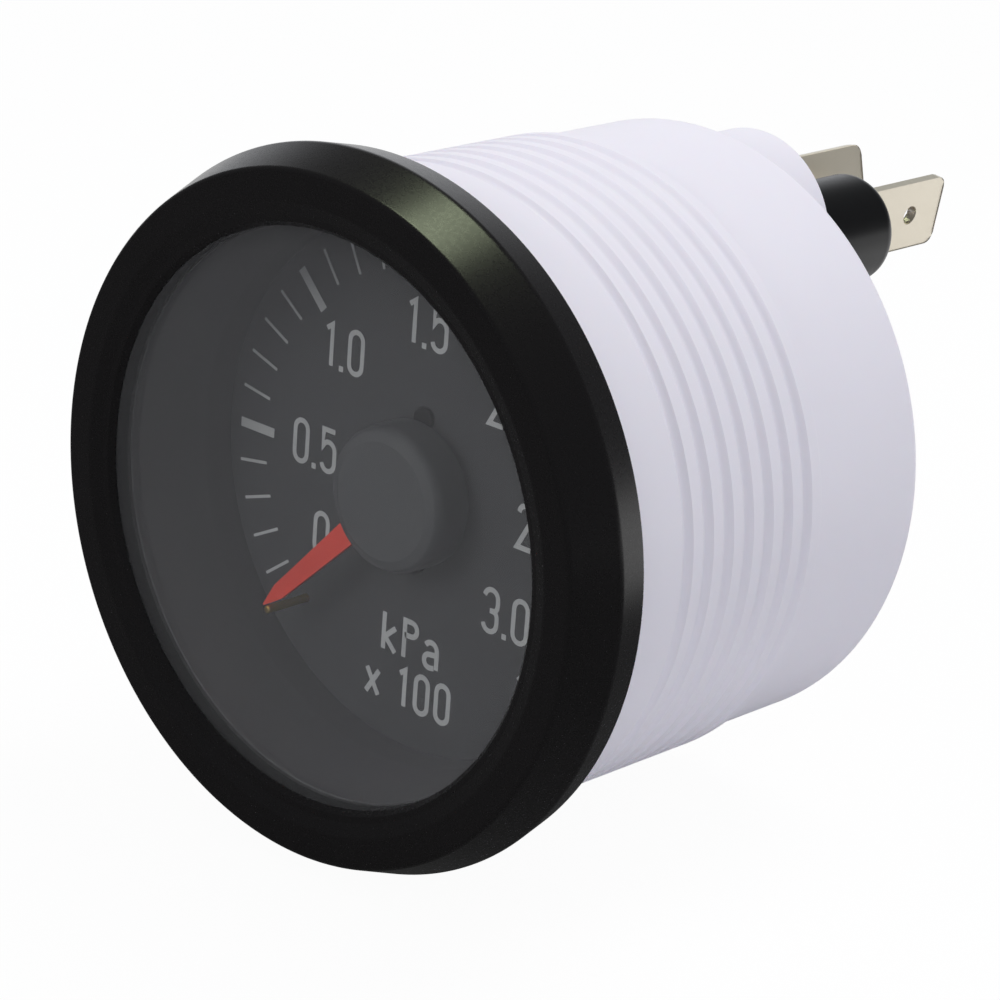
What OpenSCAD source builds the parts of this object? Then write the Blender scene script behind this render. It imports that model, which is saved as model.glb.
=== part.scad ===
// Panel-mounted boost gauge with a Bourdon movement, a lamp and tab terminals.
// The dial faces -Y, the body runs back along +Y and +Z is up.
// The origin is on the gauge's axis, at the rear face of the bezel, which seats on the panel.

/* [Housing] */
// Radius of the barrel that passes through the panel
housing_r = 26; // [25.6:0.1:27]
// Step in radius from the barrel down to its smooth rear part
rear_step = 0.5; // [0.1:0.1:1]
// Distance from the panel face to the housing's rear face
housing_l = 36.5; // [34:0.5:45]
// Distance from the panel face to the step down to the rear part
step_y = 23.4; // [22.8:0.1:30]
// Wall of the barrel
barrel_wall = 1.5; // [1:0.1:2]
// Thickness of the rear wall
rear_wall = 1.6; // [1:0.1:3]
// Rounding of the rear rim
rim_round = 0.6; // [0.2:0.1:1.2]
// Width of the flange that the bezel grips, outside the barrel
flange_w = 1.15; // [0.8:0.05:1.5]
// Thickness of that flange
flange_t = 2.1; // [1.2:0.1:3]

/* [Grooves] */
// Number of grooves round the barrel
groove_count = 7; // [1:1:7]
// Distance from the panel face to the middle of the first groove
groove_first = 7.65; // [6:0.05:8.5]
// Distance between two grooves
groove_pitch = 2.365; // [1.5:0.005:2.45]
// Width of a groove
groove_w = 1.1; // [0.6:0.05:1.4]
// Depth of a groove
groove_d = 0.45; // [0.2:0.05:0.8]

/* [Bezel and lens] */
// Wall of the bezel round the flange
bezel_side = 0.97; // [0.6:0.01:1.5]
// Height of the bezel's crease, its widest line, above its rear edge
crease_out = 0.63; // [0:0.01:0.8]
// Distance of the crease in front of the panel face
crease_y = 3.2; // [2.5:0.1:4]
// Taper of the bezel from the crease to its front corner
bezel_taper = 1.47; // [0.8:0.01:1.8]
// Depth of the bezel in front of the panel face
bezel_depth = 7.3; // [7:0.05:9]
// Rounding of the bezel's front corner
corner_round = 0.5; // [0.2:0.05:0.8]
// Width of the bezel's flat front face
face_w = 2.48; // [1.5:0.02:3]
// Width of the bezel's lip, from the flat face to where it meets the lens
lip_w = 2.12; // [1.2:0.02:3]
// Thickness of the hem turned in behind the housing's flange
hem_t = 0.7; // [0.5:0.05:1.2]
// Distance from the hem's rear face back to the panel line, where the plain barrel starts
hem_set = 0.1; // [0.06:0.02:0.3]
// Clearance between the barrel and the hem
hem_gap = 0.35; // [0.1:0.05:0.6]
// Clearance round the flange and the lens inside the bezel
bezel_gap = 0.1; // [0.05:0.01:0.2]
// Thickness of the lens
lens_t = 2.5; // [1.5:0.1:3]
// Thickness of the gasket behind the lens
gasket_t = 0.35; // [0.2:0.05:0.6]

/* [Dial] */
// Width of the dial's edge outside the spacer ring
dial_edge = 0.6; // [0.2:0.1:1]
// Distance from the panel face to the dial's face
dial_y = 6.7; // [6:0.1:8]
// Thickness of the dial
dial_t = 0.6; // [0.4:0.1:1]
// Step in radius from the bezel's lip to the spacer ring's front edge
ring_step = 0.04; // [0:0.01:0.3]
// Taper of the spacer ring's inside from its front to the dial
ring_taper = 0.84; // [0.3:0.02:1.4]
// Thickness of the spacer ring's wall
ring_wall = 1.1; // [0.8:0.1:1.4]
// Distance of the dial screws from the axis
dial_screw_x = 6; // [5.9:0.1:7]
// Radius of a dial screw's head
dial_screw_r = 1; // [0.8:0.05:1.2]
// Distance from the pointer's tip in to the stop pin
stop_pin_in = 0.7; // [0.5:0.1:1.2]
// Radius of the stop pin
stop_pin_r = 0.35; // [0.2:0.05:0.4]

/* [Pointer] */
// Radius of the pointer's tip
pointer_l = 18.3; // [17.8:0.1:21]
// Width of the pointer at the cap
pointer_root_w = 1.96; // [1.5:0.02:2.2]
// Width of the pointer where its point begins
pointer_neck_w = 1.27; // [1:0.01:1.5]
// Thickness of the pointer
pointer_t = 0.45; // [0.3:0.05:0.6]
// Radius of the hub cap
cap_r = 5.95; // [5.5:0.05:6.5]
// Rounding of the hub cap's edge
cap_round = 1.15; // [0.6:0.05:1.6]
// Distance from the panel face to the hub cap's front
cap_y = 2.26; // [1.5:0.02:3]
// Turn of the pointer from rest to full scale
pointer_turn = 270; // [180:5:270]

/* [Movement] */
// Module of the gear teeth
tooth_module = 0.2; // [0.18:0.01:0.22]
// Teeth on the pinion
pinion_teeth = 14; // [12:1:16]
// Teeth that the whole sector wheel would have
sector_teeth = 126; // [120:1:132]
// Radius of the front plate and the back plate round the pointer's arbor
plate_r = 10.5; // [10:0.1:11]
// Thickness of both plates
plate_t = 1; // [0.8:0.1:1.2]
// Distance between the two plates
plate_gap = 6; // [6:0.1:6.4]
// Radius of a plate pillar
pillar_r = 1.2; // [1:0.05:1.4]
// Radius of the pointer's arbor
arbor_r = 0.5; // [0.4:0.05:0.6]
// Turns of the hairspring
hairspring_turns = 4; // [2:1:5]
// Distance between two turns of the hairspring
hairspring_pitch = 0.6; // [0.57:0.01:0.7]

/* [Pressure parts] */
// Distance from the barrel's inside to the middle of the Bourdon tube's section
tube_room = 4.9; // [4.6:0.1:5.5]
// Thickness of the Bourdon tube's section across the curve
tube_w = 2.2; // [1.8:0.1:2.4]
// Width of the Bourdon tube's section along the axis
tube_h = 6; // [5:0.1:6.2]
// Wall of the Bourdon tube
tube_wall = 0.35; // [0.2:0.05:0.5]
// Radius of the clamping shank that the nut sits on
shank_r = 5; // [4.9:0.05:5.2]
// Radius of the threaded pressure port behind the nut
port_r = 4.86; // [4.5:0.02:4.88]
// Length of the shank and the pressure port behind the housing
port_l = 12; // [10:0.5:20]
// Radius of the port's bore
port_bore_r = 1.5; // [1:0.1:2.5]
// Width of the port's nut across its flats
nut_af = 12; // [11:0.5:12.5]

/* [Lamp and terminals] */
// Radius of the lamp boss
boss_r = 8.35; // [8.2:0.05:9]
// Distance from the rim of the rear face in to the lamp boss
boss_in = 1.45; // [1:0.05:2]
// Length of the lamp boss behind the housing
boss_l = 8; // [6:0.5:10]
// Radius of the lamp holder's rear part
holder_r = 4.7; // [4.3:0.05:4.8]
// Length of the lamp holder behind the boss
holder_l = 10; // [8:0.5:12]
// Width of a terminal tab
tab_w = 6.3; // [6:0.1:6.5]
// Thickness of a terminal tab
tab_t = 0.8; // [0.6:0.1:1]
// Length of the lamp's tab behind its holder
lamp_tab_l = 11.5; // [9:0.5:14]
// Length of the earth tab behind the boss
earth_tab_l = 20; // [16:0.5:22]
// Radius of the hole in a tab
tab_hole_r = 0.95; // [0.7:0.05:1.1]

/* [Hidden] */
$fn = 96;
over = 0.5;
touch = 0;
fit = 0.05;
seat_gap = 0.1;
air = 0.3;
hem_relief = 0.5;
barrel_lead = 0.02;

// Radii, from the barrel outwards and inwards
rear_r = housing_r - rear_step;
bore_r = housing_r - barrel_wall;
flange_r = housing_r + flange_w;
hem_r = housing_r + hem_gap;
relief_r = housing_r - hem_relief;
bezel_inner_r = flange_r + bezel_gap;
bezel_r = bezel_inner_r + bezel_side;
crease_r = bezel_r + crease_out;
corner_r = crease_r - bezel_taper;
face_r = corner_r - face_w;
lip_r = face_r - lip_w;
lens_r = bezel_inner_r - bezel_gap;
ring_front_r = lip_r - ring_step;
ring_rear_r = ring_front_r - ring_taper;
dial_r = ring_rear_r + ring_wall + dial_edge;
tube_r = bore_r - tube_room;
boss_z = rear_r - boss_in - boss_r;
stop_pin_at = pointer_l - stop_pin_in;
cap_flat_r = cap_r - cap_round;

// Places along the axis
flange_back = -hem_t - hem_set;
flange_front = flange_back - flange_t;
ring_flange_t = 0.5;
ring_front = flange_front - ring_flange_t;
lens_back = ring_front - gasket_t;
lens_front = lens_back - lens_t;
dial_back = dial_y + dial_t;
post_l = 1.7;
plate_front = dial_back + post_l;
gears_front = plate_front + plate_t;
gears_back = gears_front + plate_gap;
plate_back = gears_back + plate_t;
wall_front = housing_l - rear_wall;

// Bezel's lip: the slope and the ledge, as shares of its width and of its drop to the lens
slope_shares = [0.542, 0.41];
ledge_shares = [0.778, 0.505];

// Pointer and dial details
rest_angle = -135;
stop_angle = -137.1;
stop_pin_proud = 0.06;
stop_pin_front = cap_y - stop_pin_proud;
neck_share = 0.863;
cap_cover = 0.3;
cap_air = 0.8;
pointer_front = cap_y + cap_cover;
pointer_back = pointer_front + pointer_t;
hub_back = dial_y - cap_air;
arbor_hole_r = 1.2;
screw_head_t = 0.45;
screw_core_share = 0.55;
ring_narrow = 2.85;
ring_rib = 1.5;
pointer_tail = 3;
cap_wall = 1.1;
boss_bush_r = 1.6;

// Gear geometry
pressure_angle = 20;
pinion_pitch_r = tooth_module * pinion_teeth / 2;
sector_pitch_r = tooth_module * sector_teeth / 2;
centre_dist = pinion_pitch_r + sector_pitch_r;
backlash = 0.035;
tooth_top_share = 0.9;
tooth_root_share = 1.25;
sector_swing = pointer_turn * pinion_teeth / sector_teeth;
sector_spare = 1.5;
sector_first = -ceil(sector_swing * sector_teeth / 360 + sector_spare);
sector_last = 2;
sector_in = 3.2;
sector_front = gears_front + sector_in;
sector_t = 1.2;
sector_rim = 1.9;
spoke_w = 1.5;
pinion_over = 0.4;
pinion_front = sector_front - pinion_over;
pinion_back = sector_front + sector_t + pinion_over;
spring_in = 0.8;
spring_front = gears_front + spring_in;
spring_h = 1;
spring_t = 0.15;
collet_r = 1.4;
stud_r = 0.5;
pivot_r = 0.4;
bush_r = 1.3;
bush_proud = 0.2;
shoulder = 0.2;
sector_arbor_r = 0.6;
hub_r = 1.8;
foot_r = 6;

// Linkage: places seen from the front, as x and z
tail_x = -5.2;
tail_z = 2;
tail_at = [tail_x, tail_z - centre_dist];
tip_angle = 245.65;
pin_r = 0.4;
eye_r = 1.1;
link_t = 0.5;
link_w = 1.4;
link_gap = 0.3;
link_front = sector_front + sector_t + link_gap;
link_back = link_front + link_t;
head_t = 0.3;
head_share = 1.9;
tip_at = [tube_r * cos(tip_angle), tube_r * sin(tip_angle)];

// Bourdon tube
tube_in = 1.5;
tube_front = gears_front + tube_in;
tube_back = tube_front + tube_h;
tube_start = -27;
tube_end = 230;
tip_gap = 1.2;
tip_block = 8;
tip_wall = 0.5;
root_angle = -30;
root_w = 5;
root_wall = 0.9;
bar_air = 1.2;
bar_t = 3.6;
bar_front = plate_back + bar_air;
bar_back = bar_front + bar_t;
disc_r = 10;
pad_r = 1.9;
passage_r = 0.8;
stem_r = 6;
shoulder_r = 7.5;
socket_gasket_t = 0.8;
shoulder_t = 1.6;
washer_r = 6.8;
washer_t = 0.8;
nut_t = 4;
nut_chamfer = 0.5;
shank_back = housing_l + washer_t + nut_t;
run_out_w = 0.8;
run_out_d = 0.5;

// Screws
screw_r = 0.7;
screw_head_r = 1.3;
screw_head = 0.8;
slot_share = 0.3;
movement_x = 5.4;
movement_z = 6.2;
movement_at = [for (side = [-1, 1]) [side * movement_x, movement_z]];
pillar_x = 7.7;
pillar_z = 1.6;
pillar_below = 4.1;
pillar_at = [[-pillar_x, pillar_z], [pillar_x, pillar_z], [0, -centre_dist - pillar_below]];

// Lamp
holder_x = 3.1;
holder_down = 0.9;
holder_at = [holder_x, boss_z - holder_down];
neck_r = 3.9;
holder_back = housing_l + boss_l + holder_l;
bulb_r = 2.5;
bulb_l = 7;
bulb_base_l = 6;
shell_wall = 0.4;
holder_round = 0.7;
socket_r = 3.4;
lamp_tab_turn = 8;
earth_tab_turn = -13;
earth_tab_x = -4.3;
earth_tab_up = 0.2;
earth_tab_at = [earth_tab_x, boss_z + earth_tab_up];
tab_round = 1;
tab_hole_in = 3.6;

// Turns a profile of [radius, y] points round the gauge's axis
module turned(points) {
    rotate([-90, 0, 0]) rotate_extrude() polygon(points);
}

// A round bar along Y from y0 to y1, with its middle at [x, z]
module rod(r, y0, y1, at = [0, 0], sides = 0) {
    translate([at[0], y0, at[1]]) rotate([-90, 0, 0]) cylinder(r = r, h = y1 - y0, $fn = sides ? sides : $fn);
}

// A flat piece: its outline is drawn as seen from the front and spans y0 to y1
module slab(y0, y1) {
    translate([0, y1, 0]) rotate([90, 0, 0]) linear_extrude(y1 - y0) children();
}

// Points of an arc
function arc(at, r, a0, a1, steps) =
    [for (i = [0:steps]) at + r * [cos(a0 + (a1 - a0) * i / steps), sin(a0 + (a1 - a0) * i / steps)]];

function turn(at, angle) =
    [at[0] * cos(angle) - at[1] * sin(angle), at[0] * sin(angle) + at[1] * cos(angle)];

// Place on a dial circle, with its angle counted clockwise from the top
function on_dial(r, angle) = [r * sin(angle), r * cos(angle)];

module bezel() {
    corner = [corner_r - corner_round, corner_round - bezel_depth];
    lens_y = lens_front;
    drop = lens_y + bezel_depth;
    lip_point = function(shares) [face_r - shares[0] * lip_w, shares[1] * drop - bezel_depth];
    color("#1e1c1e") turned(concat(
        [[hem_r, -hem_set], [bezel_r, -hem_set], [crease_r, -crease_y]],
        arc(corner, corner_round, 0, -90, 6),
        [[face_r, -bezel_depth], lip_point(slope_shares), lip_point(ledge_shares),
            [lip_r, lens_y], [bezel_inner_r, lens_y],
            [bezel_inner_r, flange_back], [hem_r, flange_back]]));
}

module lens() {
    color([0.9, 0.92, 0.95, 0.3]) rod(lens_r, lens_front, lens_back);
}

module lens_gasket() {
    inner = ring_front_r + seat_gap;
    color("#202020") turned([[inner, lens_back], [lens_r, lens_back], [lens_r, ring_front],
                             [inner, ring_front]]);
}

module spacer_ring() {
    narrow_y = dial_y - ring_narrow;
    rib_r = bore_r - seat_gap;
    rib_back = flange_front + ring_rib;
    color("#2a2a2c") turned([[ring_front_r, ring_front], [lens_r, ring_front], [lens_r, flange_front],
        [rib_r, flange_front], [rib_r, rib_back], [ring_front_r + ring_wall, rib_back + ring_rib / 2],
        [ring_rear_r + ring_wall, dial_y], [ring_rear_r, dial_y], [ring_rear_r, narrow_y]]);
}

module dial() {
    color("#333335") difference() {
        rod(dial_r, dial_y, dial_back);
        rod(arbor_hole_r, dial_y - over, dial_back + over);
        for (side = [-1, 1])
            rod(screw_r, dial_y - over, dial_back + over, [0, side * dial_screw_x]);
        rod(stop_pin_r, dial_y - over, dial_back + over, on_dial(stop_pin_at, stop_angle));
    }
}

module dial_screws() {
    core = dial_screw_r * screw_core_share;
    color("#3a3a3c") for (side = [-1, 1]) difference() {
        union() {
            rod(dial_screw_r, dial_y - screw_head_t, dial_y, [0, side * dial_screw_x]);
            rod(core, dial_y, dial_back + post_l, [0, side * dial_screw_x]);
        }
        slot(dial_screw_r, dial_y - screw_head_t, screw_head_t / 2, [0, side * dial_screw_x]);
    }
}

// A driver slot across a screw head
module slot(r, y, depth, at) {
    width = r * slot_share;
    translate([at[0] - r - over, y - over, at[1] - width / 2]) cube([2 * (r + over), depth + over, width]);
}

module stop_pin() {
    color("#29292b") rod(stop_pin_r, stop_pin_front, dial_back, on_dial(stop_pin_at, stop_angle));
}

module housing() {
    color("#e3e1ea") difference() {
        union() {
            turned(concat(
                [[touch, flange_front], [flange_r, flange_front], [flange_r, flange_back],
                    [relief_r, flange_back], [relief_r, -barrel_lead], [housing_r, -barrel_lead]],
                [for (i = [0:groove_count - 1]) for (p = groove_points(groove_first + i * groove_pitch)) p],
                [[housing_r, step_y], [rear_r, step_y]],
                arc([rear_r - rim_round, housing_l - rim_round], rim_round, 0, 90, 6),
                [[touch, housing_l]]));
            rod(boss_r, housing_l - rear_wall / 2, housing_l + boss_l, [0, boss_z]);
        }
        rod(bore_r, flange_front - over, wall_front);
        rod(shank_r + seat_gap, wall_front - over, housing_l + over);
        rod(neck_r + seat_gap, wall_front - over, housing_l + boss_l + over, holder_at);
    }
}

// Outline of one groove, round at its bottom, seen in the profile
function groove_points(y) =
    [for (i = [0:6]) [housing_r - groove_d * sin(180 * i / 6), y + groove_w * (i / 6 - 1 / 2)]];

// Outline shared by both plates: round the arbor, drawn in to the round foot below
module plate_outline(y0, y1) {
    lean = asin((plate_r - foot_r) / centre_dist);
    rod(plate_r, y0, y1);
    rod(foot_r, y0, y1, [0, -centre_dist]);
    slab(y0, y1) polygon([for (side = [-1, 1])
        each side < 0 ? [side_point(side, plate_r, lean, 0), side_point(side, foot_r, lean, -centre_dist)]
            : [side_point(side, foot_r, lean, -centre_dist), side_point(side, plate_r, lean, 0)]]);
}

function side_point(side, r, lean, z) = [side * r * cos(lean), z - r * sin(lean)];

module front_plate() {
    color("#b8a268") difference() {
        union() {
            plate_outline(plate_front, gears_front);
            for (side = [-1, 1])
                rod(pillar_r, dial_back, plate_front + touch, [0, side * dial_screw_x]);
        }
        for (side = [-1, 1])
            rod(dial_screw_r * screw_core_share, dial_back - over, plate_front, [0, side * dial_screw_x]);
        for (z = [0, -centre_dist]) rod(bush_r, plate_front - over, gears_front + over, [0, z]);
        for (at = pillar_at) rod(screw_r, plate_front - over, gears_front + over, at);
    }
}

module back_plate() {
    color("#b8a268") difference() {
        plate_outline(gears_back, plate_back);
        for (z = [0, -centre_dist]) rod(bush_r, gears_back - over, plate_back + over, [0, z]);
        for (at = movement_at) rod(screw_r, gears_back - over, plate_back + over, at);
    }
}

module plate_pillars() {
    color("#c9b27a") for (at = pillar_at) difference() {
        rod(pillar_r, gears_front, gears_back, at);
        rod(screw_r, gears_front - over, gears_front + plate_gap / 2, at);
    }
}

// A cheese-head screw along Y, with its head in front of the face y
module screw(y, length, at) {
    difference() {
        union() {
            rod(screw_head_r, y - screw_head, y, at);
            rod(screw_r, y, y + length, at);
        }
        slot(screw_head_r, y - screw_head, screw_head / 2, at);
    }
}

module plate_screws() {
    color("#b9b7b0") for (at = pillar_at) screw(plate_front, plate_t + plate_gap / 2, at);
}

module movement_screws() {
    color("#b9b7b0") for (at = movement_at) screw(gears_back, bar_front - gears_back + plate_t, at);
}

module pivot_bushes() {
    color("#d0b055") for (z = [0, -centre_dist]) {
        difference() {
            rod(bush_r, plate_front - bush_proud, gears_front + bush_proud, [0, z]);
            rod((z == 0 ? arbor_r : pivot_r) + fit, plate_front - over, gears_front + over, [0, z]);
        }
        difference() {
            rod(bush_r, gears_back - bush_proud, plate_back + bush_proud, [0, z]);
            rod(pivot_r + fit, gears_back - over, plate_back + over, [0, z]);
        }
    }
}

// Middle line of the hairspring: from the collet out to the stud
function spiral_r(a) = collet_r + spring_t / 2 + hairspring_pitch * a / 360;
spiral_steps = 36;
spiral_end = 360 * hairspring_turns;
spiral_line = [for (i = [0:spiral_steps * hairspring_turns]) let (a = i * 360 / spiral_steps)
    spiral_r(a) * [cos(a), sin(a)]];
spiral_gap = min([for (i = [0:spiral_steps * (hairspring_turns - 1)])
    norm(spiral_line[i + spiral_steps] - spiral_line[i]) - spring_t]);
echo(str("least gap between the hairspring's turns: ", spiral_gap, " mm"));

module hairspring() {
    steps = spiral_steps * hairspring_turns;
    color("#8f99a8") slab(spring_front, spring_front + spring_h) polygon(concat(
        [for (i = [0:steps]) let (a = i * 360 / spiral_steps)
            (spiral_r(a) + spring_t / 2) * [cos(a), sin(a)]],
        [for (i = [steps:-1:0]) let (a = i * 360 / spiral_steps)
            (spiral_r(a) - spring_t / 2) * [cos(a), sin(a)]]));
}

module hairspring_stud() {
    at = [spiral_r(spiral_end) + spring_t / 2 + stud_r, 0];
    color("#c9b27a") rod(stud_r, gears_front, spring_front + spring_h + shoulder, at);
}

// Section of the Bourdon tube: flat sides and round edges, grown by more
module tube_section(more) {
    w = tube_w + 2 * more;
    h = tube_h + 2 * more;
    mid = -(tube_front + tube_back) / 2;
    translate([tube_r - w / 2, mid - (h - w) / 2]) square([w, h - w]);
    for (side = [-1, 1]) translate([tube_r, mid + side * (h - w) / 2]) circle(w / 2);
}

// Sweeps a section round the axis between two angles, seen from the front
module bend(a0, a1) {
    rotate([90, 0, 0]) rotate([0, 0, a0]) rotate_extrude(angle = a1 - a0) children();
}

module bourdon_tube() {
    color("#c2a45e") difference() {
        bend(tube_start, tube_end) tube_section(touch);
        bend(tube_start - 1, tube_end + 1) tube_section(-tube_wall);
    }
}

module pressure_socket() {
    root_in = tube_r - tube_w / 2 - root_wall;
    root_out = tube_r + tube_w / 2 + root_wall;
    bar_mid = (bar_front + bar_back) / 2;
    color("#bfa05a") difference() {
        union() {
            rod(disc_r, bar_front, bar_back);
            for (at = movement_at) rod(pad_r, plate_back, bar_front, at);
            rotate([0, -root_angle, 0]) {
                translate([touch, bar_front, -root_w / 2]) cube([root_out, bar_back - bar_front, root_w]);
                translate([root_in, tube_front - root_wall, -root_w / 2])
                    cube([root_out - root_in, bar_back - tube_front + root_wall, root_w]);
            }
            rod(stem_r, bar_back, wall_front - socket_gasket_t);
            rod(shoulder_r, wall_front - socket_gasket_t - shoulder_t, wall_front - socket_gasket_t);
            rod(shank_r, wall_front - socket_gasket_t, shank_back);
            rod(port_r - run_out_d, shank_back, shank_back + run_out_w);
            rod(port_r, shank_back + run_out_w, housing_l + port_l);
        }
        bend(tube_start, tube_start + root_w * 180 / PI / tube_r) tube_section(touch);
        rod(port_bore_r, bar_mid - passage_r - air, housing_l + port_l + over);
        rotate([0, -root_angle, 0]) translate([touch, bar_mid, 0]) rotate([0, 90, 0])
            cylinder(r = passage_r, h = tube_r + passage_r);
        rod(passage_r - seat_gap, (tube_front + tube_back) / 2, bar_mid, turn([tube_r, 0], root_angle));
        for (at = movement_at) rod(screw_r, plate_back - over, bar_front + plate_t, at);
    }
}

module socket_gasket() {
    color("#2b2b2b") difference() {
        rod(shoulder_r, wall_front - socket_gasket_t, wall_front);
        rod(shank_r, wall_front - socket_gasket_t - over, wall_front + over);
    }
}

module port_washer() {
    color("#c8c5bd") difference() {
        rod(washer_r, housing_l, housing_l + washer_t);
        rod(shank_r, housing_l - over, housing_l + washer_t + over);
    }
}

module port_nut() {
    front = housing_l + washer_t;
    color("#c9ae62") difference() {
        intersection() {
            translate([0, front, 0]) rotate([-90, 0, 0])
                cylinder(r = nut_af / 2 / cos(30), h = nut_t, $fn = 6);
            turned([[touch, front], [nut_af / 2, front], [nut_af / 2 / cos(30), front + nut_chamfer],
                [nut_af / 2 / cos(30), front + nut_t - nut_chamfer], [nut_af / 2, front + nut_t],
                [touch, front + nut_t]]);
        }
        rod(shank_r, front - over, front + nut_t + over);
    }
}

module lamp_holder() {
    boss_back = housing_l + boss_l;
    rim = holder_r - holder_round;
    color("#19191b") translate([holder_at[0], 0, holder_at[1]]) difference() {
        union() {
            turned(concat([[touch, wall_front], [neck_r, wall_front], [neck_r, boss_back],
                [holder_r, boss_back]],
                arc([rim, holder_back - holder_round], holder_round, 0, 90, 5), [[touch, holder_back]]));
        }
        rod(socket_r, wall_front - over, boss_back);
        rotate([0, lamp_tab_turn, 0]) translate([-tab_t / 2, boss_back - over, -tab_w / 2])
            cube([tab_t, holder_back - boss_back + 2 * over, tab_w]);
    }
}

module lamp_contact() {
    boss_back = housing_l + boss_l;
    color("#c9c2a8") translate([holder_at[0], 0, holder_at[1]]) difference() {
        rod(socket_r, wall_front + bulb_base_l / 2, boss_back);
        rod(socket_r - shell_wall, wall_front, boss_back - shell_wall);
    }
}

module bulb_base() {
    front = wall_front + bulb_base_l / 2 - over;
    color("#cfc6a4") rod(socket_r - shell_wall, front, housing_l + boss_l - shell_wall, holder_at);
}

module lamp_bulb() {
    back = wall_front + bulb_base_l / 2 - over;
    dome = back - bulb_l;
    color([1, 0.95, 0.8, 0.4]) translate([holder_at[0], 0, holder_at[1]])
        turned(concat([[touch, back], [bulb_r, back]],
            [for (i = [0:8]) [bulb_r * cos(90 * i / 8), dome - bulb_r * sin(90 * i / 8)]]));
}

// A flat tab from y0 to y1 with a rounded end and a hole, turned about Y at its place
module tab(y0, y1, at, angle, root) {
    translate([at[0], 0, at[1]]) rotate([0, angle, 0]) difference() {
        translate([-tab_t / 2, 0, 0]) rotate([90, 0, 90]) linear_extrude(tab_t) polygon([
            [y0, -root / 2], [y1 - tab_round, -tab_w / 2], [y1, -tab_w / 2 + tab_round],
            [y1, tab_w / 2 - tab_round], [y1 - tab_round, tab_w / 2], [y0, root / 2]]);
        translate([-tab_t, y1 - tab_hole_in, 0]) rotate([0, 90, 0]) cylinder(r = tab_hole_r, h = 2 * tab_t);
    }
}

module lamp_blade() {
    color("#cdc8b9") tab(housing_l + boss_l, holder_back + lamp_tab_l, holder_at, lamp_tab_turn, tab_w);
}

module ground_blade() {
    back = housing_l + boss_l;
    color("#cdc8b9") tab(back, back + earth_tab_l, earth_tab_at, earth_tab_turn, tab_w);
}

module pointer() {
    neck = pointer_l * neck_share;
    color("#c23a35") difference() {
        slab(pointer_front, pointer_back) rotate(90 - rest_angle)
            polygon([[-pointer_tail, -pointer_root_w / 2],
            [cap_r, -pointer_root_w / 2], [neck, -pointer_neck_w / 2], [pointer_l, 0],
            [neck, pointer_neck_w / 2], [cap_r, pointer_root_w / 2], [-pointer_tail, pointer_root_w / 2]]);
        rod(arbor_r, pointer_front - over, pointer_back + over);
    }
}

module hub_cap() {
    color("#4a4b4d") difference() {
        turned(concat([[touch, cap_y]],
            arc([cap_flat_r, cap_y + cap_round], cap_round, -90, 0, 8),
            [[cap_r, hub_back], [touch, hub_back]]));
        rod(cap_r - cap_wall, pointer_back, hub_back + over);
        slab(pointer_front, pointer_back) rotate(90 - rest_angle)
            translate([-pointer_tail, -pointer_root_w / 2])
            square([pointer_tail + cap_r + over, pointer_root_w]);
    }
}

module pointer_boss() {
    color("#c9b27a") difference() {
        rod(boss_bush_r, pointer_back, hub_back);
        rod(arbor_r, pointer_back - over, hub_back + over);
    }
}

module pinion_arbor() {
    color("#aeb0b4") {
        rod(arbor_r, pointer_front, gears_back - bush_proud - shoulder);
        rod(pivot_r, gears_back - bush_proud - shoulder, plate_back + bush_proud);
    }
}

// Half of a tooth's angle at radius r, for a wheel with n teeth
function roll(a) = tan(a) * 180 / PI - a;
function half_tooth(n, r) = let (pitch = tooth_module * n / 2, base = pitch * cos(pressure_angle))
    (PI * tooth_module / 2 - backlash) / 2 / pitch * 180 / PI + roll(pressure_angle)
        - roll(acos(min(1, base / r)));

// Outline of one tooth centred on angle a
function tooth(n, a, steps) =
    let (pitch = tooth_module * n / 2, root = pitch - tooth_root_share * tooth_module,
         top = pitch + tooth_top_share * tooth_module,
        base = max(pitch * cos(pressure_angle), root), foot = half_tooth(n, base))
    concat([root * [cos(a - foot), sin(a - foot)]],
        [for (i = [0:steps]) let (r = base + (top - base) * i / steps, h = half_tooth(n, r))
            r * [cos(a - h), sin(a - h)]],
        [for (i = [steps:-1:0]) let (r = base + (top - base) * i / steps, h = half_tooth(n, r))
            r * [cos(a + h), sin(a + h)]],
        [root * [cos(a + foot), sin(a + foot)]]);

module pinion() {
    color("#d0b055") difference() {
        slab(pinion_front, pinion_back) polygon([for (i = [0:pinion_teeth - 1])
            each tooth(pinion_teeth, -90 + (i + 1 / 2) * 360 / pinion_teeth, 3)]);
        rod(arbor_r, pinion_front - over, pinion_back + over);
    }
}

module hairspring_collet() {
    color("#c9b27a") difference() {
        rod(collet_r, spring_front, spring_front + spring_h);
        rod(arbor_r, spring_front - over, spring_front + spring_h + over);
    }
}

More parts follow.
